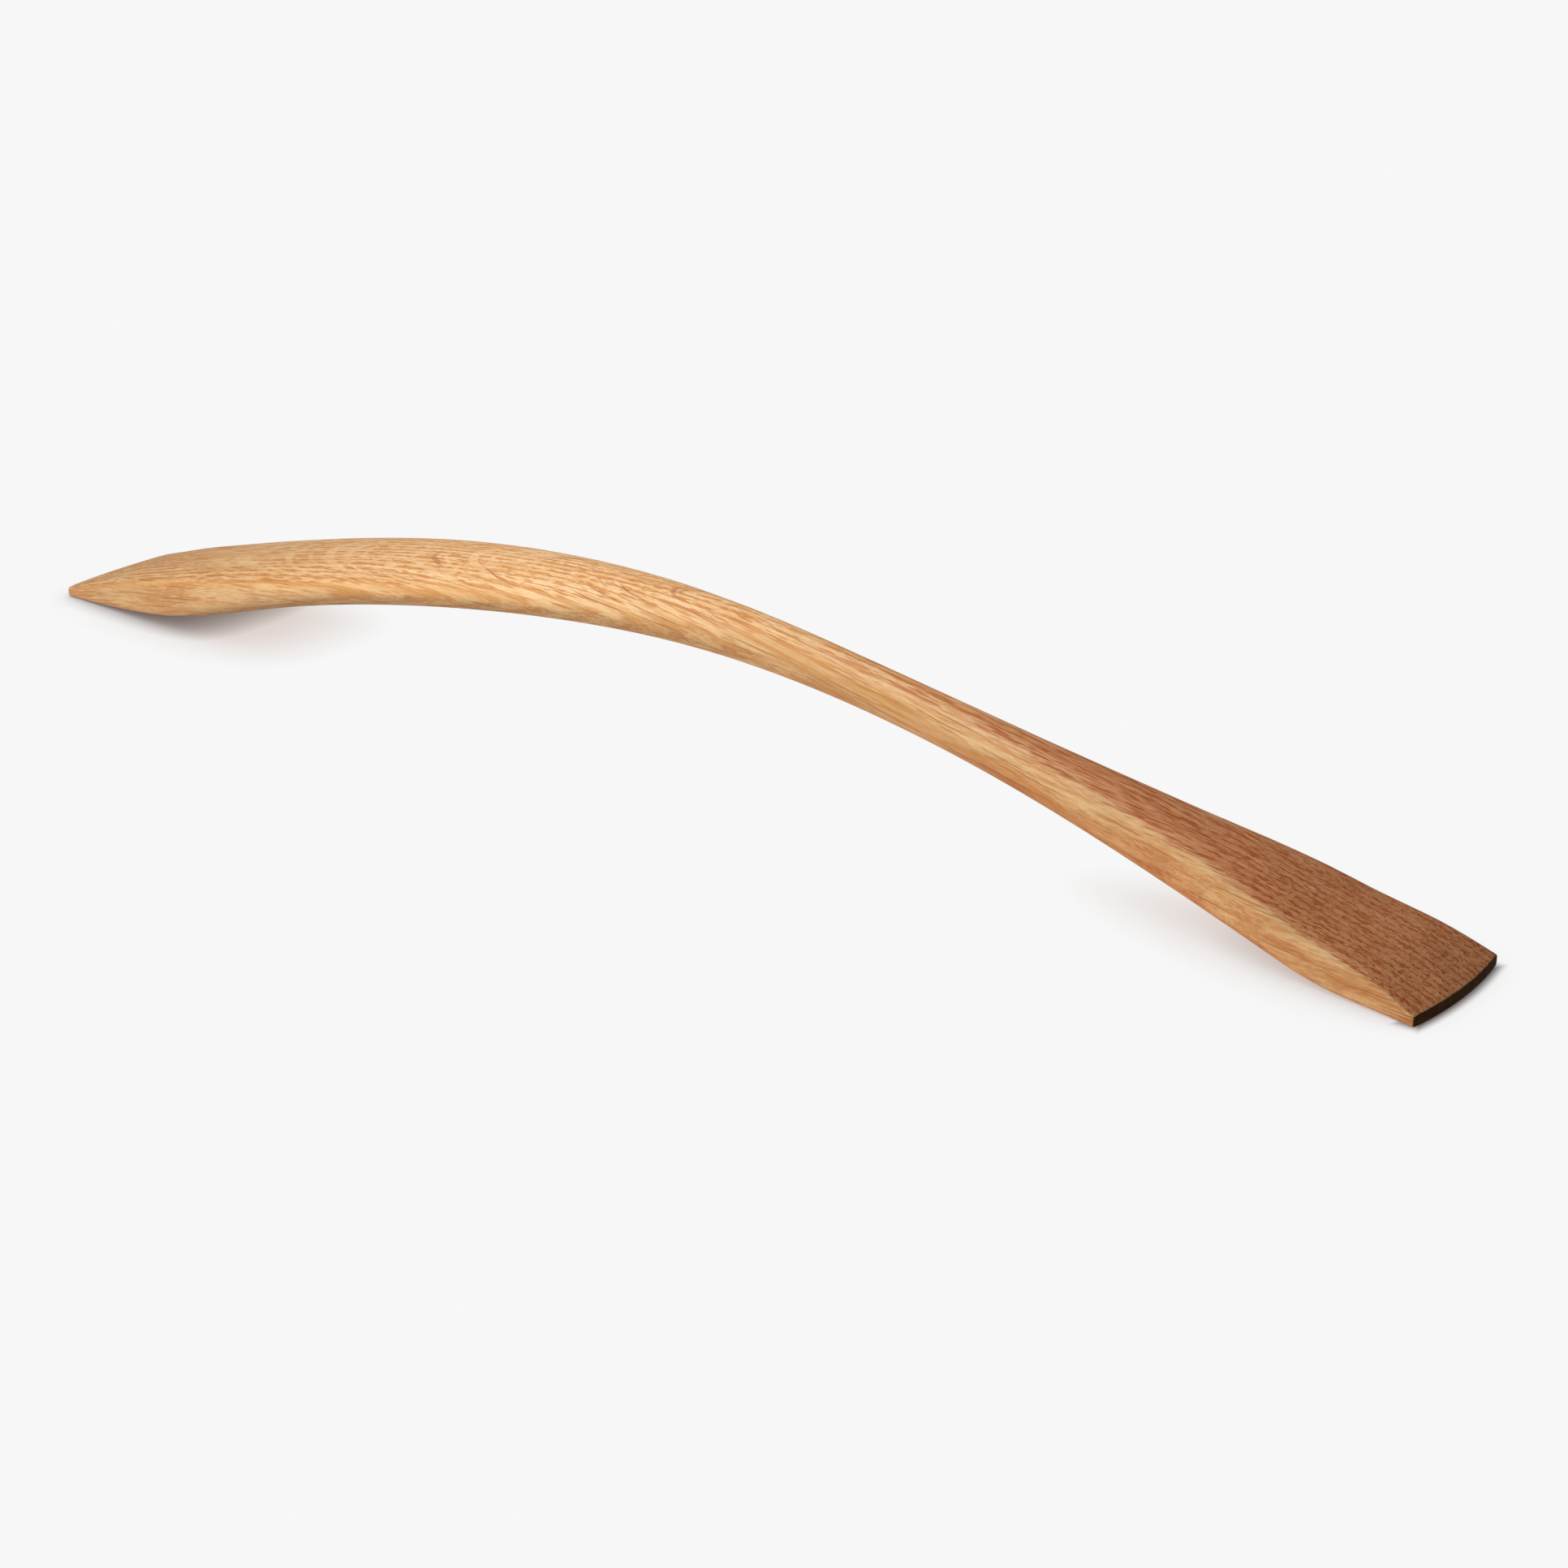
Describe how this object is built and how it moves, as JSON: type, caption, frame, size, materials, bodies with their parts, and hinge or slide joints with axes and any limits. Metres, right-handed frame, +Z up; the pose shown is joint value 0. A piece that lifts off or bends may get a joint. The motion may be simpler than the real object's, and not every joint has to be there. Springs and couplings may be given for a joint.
{
  "type": "shoehorn",
  "caption": "Long one-piece oak shoehorn with an arched body, a broad grip, a slim round neck and a thin flared blade, lying on its two ends.",
  "frame": {"origin": "on the supporting surface, at the middle of the bounding box's underside, midway between the two end edges", "axes": "+X along the length from the grip end to the blade end, +Y across the width, +Z up from the supporting surface through the arch"},
  "size_m": [0.45, 0.0488, 0.046],
  "materials": {
    "oak": "oiled, satin"
  },
  "bodies": {
    "root": {"shoehorn": "oak"}
  },
  "joints": []
}
